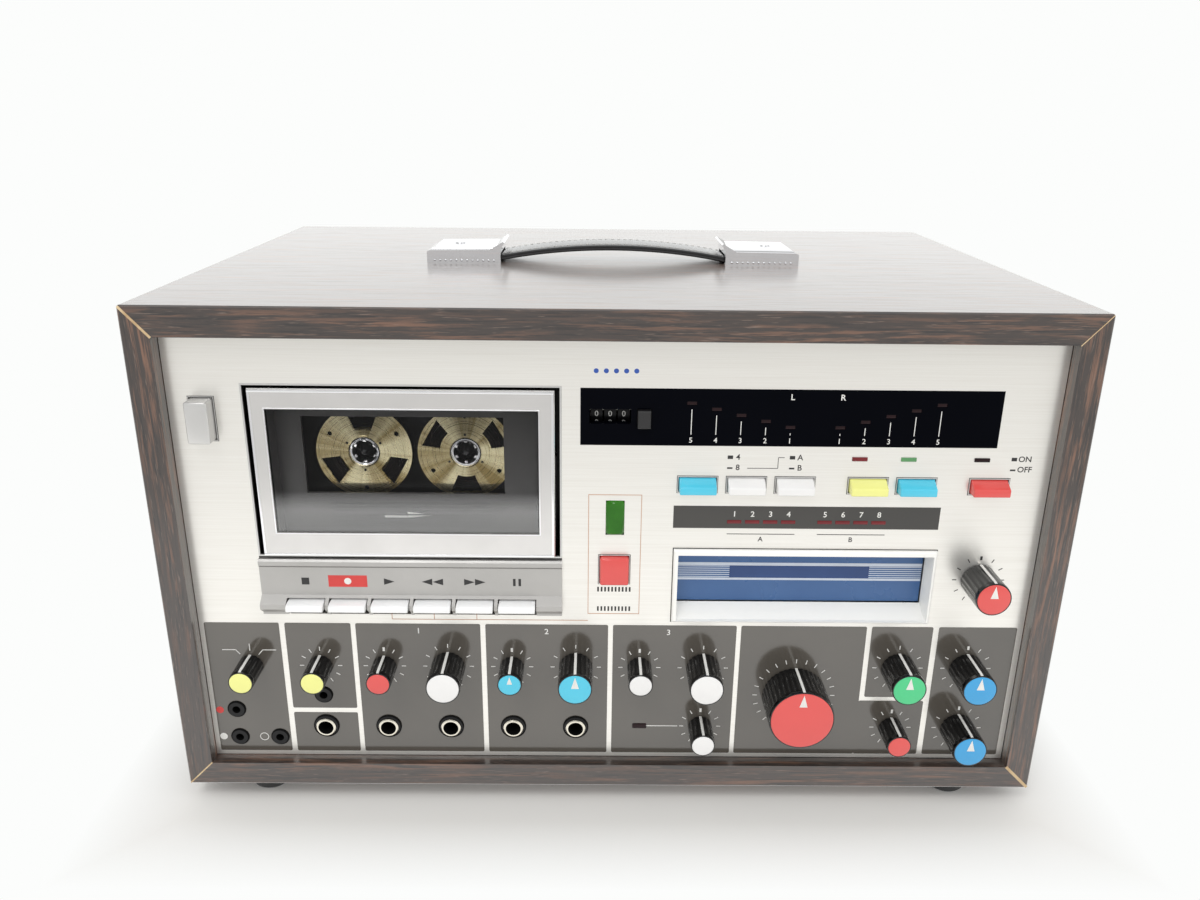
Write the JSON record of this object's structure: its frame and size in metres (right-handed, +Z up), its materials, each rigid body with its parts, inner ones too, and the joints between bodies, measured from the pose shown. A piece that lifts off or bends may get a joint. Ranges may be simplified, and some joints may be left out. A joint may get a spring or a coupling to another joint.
{
  "type": "8 track player",
  "caption": "Table-top 8-track and cassette player with microphone mixer knobs, piano keys, a meter window and a carrying strap on a wood-grain cabinet.",
  "frame": {"origin": "on the table under the middle of the overall box", "axes": "+X to the object's right as seen from the front, +Y to the back, +Z up"},
  "size_m": [0.38, 0.2632, 0.2374],
  "materials": {
    "wood_veneer": "dark ebony grain vinyl, satin",
    "hardboard": "matt black",
    "rubber": "matt",
    "strap_vinyl": "satin vinyl",
    "chrome": "polished",
    "panel_aluminium": "brushed",
    "smoked_window": "gloss",
    "lamps": "tinted clear",
    "bezel_silver": "satin silver",
    "deck_black": "matt",
    "cover_silver": "satin silver",
    "jack_black": "satin",
    "pot_metal": "plated",
    "board_green": "lacquered board",
    "steel_plated": "zinc plated",
    "knob_black": "gloss",
    "key_white": "gloss",
    "button_plastic": "gloss",
    "door_silver": "satin silver",
    "clear_pane": "clear",
    "clear_shell": "clear smoked",
    "reel_gold": "champagne anodised",
    "spindle_black": "satin",
    "wheel_black": "satin",
    "flywheel_steel": "machined",
    "flap_blue": "satin blue"
  },
  "bodies": {
    "root": {"cabinet": "wood_veneer", "rear_cover": "hardboard", "feet": "rubber", "handle_strap": "strap_vinyl", "handle_end_caps": "chrome", "front_panel": "panel_aluminium", "meter_window": "smoked_window", "indicator_lamps": "lamps", "cartridge_bezel": "bezel_silver", "cassette_well": "deck_black", "key_cover": "cover_silver", "jack_sockets": "jack_black", "control_pots": "pot_metal", "circuit_boards": "board_green", "chassis": "steel_plated", "cartridge_tray": "steel_plated"},
    "door": {"door_frame": "door_silver", "door_window": "clear_pane", "cassette_shell": "clear_shell"},
    "knob_selector": {"knob_selector": "knob_black"},
    "knob_phones_volume": {"knob_phones_volume": "knob_black"},
    "knob_mic1_pan": {"knob_mic1_pan": "knob_black"},
    "knob_mic1_volume": {"knob_mic1_volume": "knob_black"},
    "knob_mic2_pan": {"knob_mic2_pan": "knob_black"},
    "knob_mic2_volume": {"knob_mic2_volume": "knob_black"},
    "knob_wireless_pan": {"knob_wireless_pan": "knob_black"},
    "knob_wireless_volume": {"knob_wireless_volume": "knob_black"},
    "knob_tuning": {"knob_tuning": "knob_black"},
    "knob_master": {"knob_master": "knob_black"},
    "knob_echo": {"knob_echo": "knob_black"},
    "knob_balance": {"knob_balance": "knob_black"},
    "knob_treble": {"knob_treble": "knob_black"},
    "knob_bass": {"knob_bass": "knob_black"},
    "knob_tape_speed": {"knob_tape_speed": "knob_black"},
    "key_stop": {"key_stop": "key_white"},
    "key_record": {"key_record": "key_white"},
    "key_play": {"key_play": "key_white"},
    "key_rewind": {"key_rewind": "key_white"},
    "key_fast_forward": {"key_fast_forward": "key_white"},
    "key_pause": {"key_pause": "key_white"},
    "button_record": {"button_record": "button_plastic"},
    "button_stereo_8": {"button_stereo_8": "button_plastic"},
    "button_stereo_4": {"button_stereo_4": "button_plastic"},
    "button_cue": {"button_cue": "button_plastic"},
    "button_pause": {"button_pause": "button_plastic"},
    "button_power": {"button_power": "button_plastic"},
    "button_auto_select": {"button_auto_select": "button_plastic"},
    "button_eject": {"button_eject": "button_plastic"},
    "counter_reset": {"counter_reset": "knob_black"},
    "cartridge_flap": {"cartridge_flap": "flap_blue"},
    "spindle_left": {"spindle_left": "spindle_black"},
    "reel_left": {"reel_left": "reel_gold"},
    "spindle_right": {"spindle_right": "spindle_black"},
    "reel_right": {"reel_right": "reel_gold"},
    "counter_units": {"counter_units": "wheel_black"},
    "counter_tens": {"counter_tens": "wheel_black"},
    "counter_hundreds": {"counter_hundreds": "wheel_black"},
    "capstan_flywheel": {"capstan_flywheel": "flywheel_steel"},
    "cartridge_flywheel": {"cartridge_flywheel": "flywheel_steel"},
    "head_plate": {"head_plate": "steel_plated"}
  },
  "joints": [
    {"name": "selector_turn", "type": "hinge", "parent": "root", "child": "knob_selector", "pos_m": [-0.158, -0.112, 0.067], "axis": [0, 1, 0], "range_deg": [-40, 40]},
    {"name": "phones_volume_turn", "type": "hinge", "parent": "root", "child": "knob_phones_volume", "pos_m": [-0.1276, -0.112, 0.067], "axis": [0, 1, 0], "range_deg": [-150, 150]},
    {"name": "mic1_pan_turn", "type": "hinge", "parent": "root", "child": "knob_mic1_pan", "pos_m": [-0.09965, -0.112, 0.067], "axis": [0, 1, 0], "range_deg": [-150, 150]},
    {"name": "mic1_volume_turn", "type": "hinge", "parent": "root", "child": "knob_mic1_volume", "pos_m": [-0.0717, -0.112, 0.067], "axis": [0, 1, 0], "range_deg": [-150, 150]},
    {"name": "mic2_pan_turn", "type": "hinge", "parent": "root", "child": "knob_mic2_pan", "pos_m": [-0.04375, -0.112, 0.067], "axis": [0, 1, 0], "range_deg": [-150, 150]},
    {"name": "mic2_volume_turn", "type": "hinge", "parent": "root", "child": "knob_mic2_volume", "pos_m": [-0.0158, -0.112, 0.067], "axis": [0, 1, 0], "range_deg": [-150, 150]},
    {"name": "wireless_pan_turn", "type": "hinge", "parent": "root", "child": "knob_wireless_pan", "pos_m": [0.01215, -0.112, 0.067], "axis": [0, 1, 0], "range_deg": [-150, 150]},
    {"name": "wireless_volume_turn", "type": "hinge", "parent": "root", "child": "knob_wireless_volume", "pos_m": [0.0401, -0.112, 0.067], "axis": [0, 1, 0], "range_deg": [-150, 150]},
    {"name": "tuning_turn", "type": "hinge", "parent": "root", "child": "knob_tuning", "pos_m": [0.0401, -0.112, 0.0368], "axis": [0, 1, 0], "range_deg": [-150, 150]},
    {"name": "master_turn", "type": "hinge", "parent": "root", "child": "knob_master", "pos_m": [0.0812, -0.112, 0.0533], "axis": [0, 1, 0], "range_deg": [-150, 150]},
    {"name": "echo_turn", "type": "hinge", "parent": "root", "child": "knob_echo", "pos_m": [0.126, -0.112, 0.0676], "axis": [0, 1, 0], "range_deg": [-150, 150]},
    {"name": "balance_turn", "type": "hinge", "parent": "root", "child": "knob_balance", "pos_m": [0.126, -0.112, 0.0368], "axis": [0, 1, 0], "range_deg": [-150, 150]},
    {"name": "treble_turn", "type": "hinge", "parent": "root", "child": "knob_treble", "pos_m": [0.156, -0.112, 0.0676], "axis": [0, 1, 0], "range_deg": [-150, 150]},
    {"name": "bass_turn", "type": "hinge", "parent": "root", "child": "knob_bass", "pos_m": [0.156, -0.112, 0.0368], "axis": [0, 1, 0], "range_deg": [-150, 150]},
    {"name": "tape_speed_turn", "type": "hinge", "parent": "root", "child": "knob_tape_speed", "pos_m": [0.1556, -0.112, 0.111], "axis": [0, 1, 0], "range_deg": [-150, 150]},
    {"name": "key_stop_press", "type": "hinge", "parent": "root", "child": "key_stop", "pos_m": [-0.13025, -0.078, 0.095], "axis": [1, 0, 0], "range_deg": [0, 6.5], "stiffness_Nm_per_rad": 0.25, "springref_deg": -3.44},
    {"name": "key_record_press", "type": "hinge", "parent": "root", "child": "key_record", "pos_m": [-0.11235, -0.078, 0.095], "axis": [1, 0, 0], "range_deg": [0, 6.5], "stiffness_Nm_per_rad": 0.25, "springref_deg": -3.44},
    {"name": "key_play_press", "type": "hinge", "parent": "root", "child": "key_play", "pos_m": [-0.09445, -0.078, 0.095], "axis": [1, 0, 0], "range_deg": [0, 6.5], "stiffness_Nm_per_rad": 0.25, "springref_deg": -3.44},
    {"name": "key_rewind_press", "type": "hinge", "parent": "root", "child": "key_rewind", "pos_m": [-0.07655, -0.078, 0.095], "axis": [1, 0, 0], "range_deg": [0, 6.5], "stiffness_Nm_per_rad": 0.25, "springref_deg": -3.44},
    {"name": "key_fast_forward_press", "type": "hinge", "parent": "root", "child": "key_fast_forward", "pos_m": [-0.05865, -0.078, 0.095], "axis": [1, 0, 0], "range_deg": [0, 6.5], "stiffness_Nm_per_rad": 0.25, "springref_deg": -3.44},
    {"name": "key_pause_press", "type": "hinge", "parent": "root", "child": "key_pause", "pos_m": [-0.04075, -0.078, 0.095], "axis": [1, 0, 0], "range_deg": [0, 6.5], "stiffness_Nm_per_rad": 0.25, "springref_deg": -3.44},
    {"name": "button_record_press", "type": "slide", "parent": "root", "child": "button_record", "axis": [0, 1, 0], "range_m": [0, 0.004], "stiffness_N_per_m": 300},
    {"name": "button_stereo_8_press", "type": "slide", "parent": "root", "child": "button_stereo_8", "axis": [0, 1, 0], "range_m": [0, 0.004], "stiffness_N_per_m": 300},
    {"name": "button_stereo_4_press", "type": "slide", "parent": "root", "child": "button_stereo_4", "axis": [0, 1, 0], "range_m": [0, 0.004], "stiffness_N_per_m": 300},
    {"name": "button_cue_press", "type": "slide", "parent": "root", "child": "button_cue", "axis": [0, 1, 0], "range_m": [0, 0.004], "stiffness_N_per_m": 300},
    {"name": "button_pause_press", "type": "slide", "parent": "root", "child": "button_pause", "axis": [0, 1, 0], "range_m": [0, 0.004], "stiffness_N_per_m": 300},
    {"name": "button_power_press", "type": "slide", "parent": "root", "child": "button_power", "axis": [0, 1, 0], "range_m": [0, 0.004], "stiffness_N_per_m": 300},
    {"name": "button_auto_select_press", "type": "slide", "parent": "root", "child": "button_auto_select", "axis": [0, 1, 0], "range_m": [0, 0.003], "stiffness_N_per_m": 300},
    {"name": "button_eject_press", "type": "slide", "parent": "root", "child": "button_eject", "axis": [0, 1, 0], "range_m": [0, 0.004], "stiffness_N_per_m": 300},
    {"name": "counter_reset_press", "type": "slide", "parent": "root", "child": "counter_reset", "axis": [0, 1, 0], "range_m": [0, 0.0015], "stiffness_N_per_m": 300},
    {"name": "door_hinge", "type": "hinge", "parent": "root", "child": "door", "pos_m": [-0.0855, -0.091, 0.069], "axis": [1, 0, 0], "range_deg": [0, 17]},
    {"name": "flap_hinge", "type": "hinge", "parent": "root", "child": "cartridge_flap", "pos_m": [0.0811, -0.1012, 0.1208], "axis": [1, 0, 0], "range_deg": [0, 88], "stiffness_Nm_per_rad": 0.004},
    {"name": "spindle_left_spin", "type": "hinge", "parent": "root", "child": "spindle_left", "pos_m": [-0.10505, -0.092, 0.1618], "axis": [0, 1, 0], "continuous": true},
    {"name": "reel_left_spin", "type": "hinge", "parent": "door", "child": "reel_left", "pos_m": [-0.10505, -0.0953, 0.1618], "axis": [0, 1, 0], "continuous": true},
    {"name": "spindle_right_spin", "type": "hinge", "parent": "root", "child": "spindle_right", "pos_m": [-0.06255, -0.092, 0.1618], "axis": [0, 1, 0], "continuous": true},
    {"name": "reel_right_spin", "type": "hinge", "parent": "door", "child": "reel_right", "pos_m": [-0.06255, -0.0953, 0.1618], "axis": [0, 1, 0], "continuous": true},
    {"name": "counter_units_turn", "type": "hinge", "parent": "root", "child": "counter_units", "pos_m": [0.0033, -0.1021, 0.1827], "axis": [1, 0, 0], "continuous": true},
    {"name": "counter_tens_turn", "type": "hinge", "parent": "root", "child": "counter_tens", "pos_m": [-0.0022, -0.1021, 0.1827], "axis": [1, 0, 0], "continuous": true},
    {"name": "counter_hundreds_turn", "type": "hinge", "parent": "root", "child": "counter_hundreds", "pos_m": [-0.0077, -0.1021, 0.1827], "axis": [1, 0, 0], "continuous": true},
    {"name": "capstan_spin", "type": "hinge", "parent": "root", "child": "capstan_flywheel", "pos_m": [-0.0528, -0.072, 0.1327], "axis": [0, 1, 0], "continuous": true},
    {"name": "cartridge_capstan_spin", "type": "hinge", "parent": "root", "child": "cartridge_flywheel", "pos_m": [0.108, 0.009, 0.075], "axis": [0, 0, 1], "continuous": true},
    {"name": "head_plate_rise", "type": "slide", "parent": "root", "child": "head_plate", "axis": [0, 0, 1], "range_m": [0, 0.006]}
  ],
  "couplings": [
    {"joint": "spindle_left_spin", "follows": "reel_left_spin", "ratio": 1},
    {"joint": "spindle_right_spin", "follows": "reel_right_spin", "ratio": 1},
    {"joint": "counter_units_turn", "follows": "reel_right_spin", "ratio": 0.5},
    {"joint": "counter_tens_turn", "follows": "reel_right_spin", "ratio": 0.05},
    {"joint": "counter_hundreds_turn", "follows": "reel_right_spin", "ratio": 0.005},
    {"joint": "key_play_press", "follows": "head_plate_rise", "rad_per_m": 18.9}
  ]
}
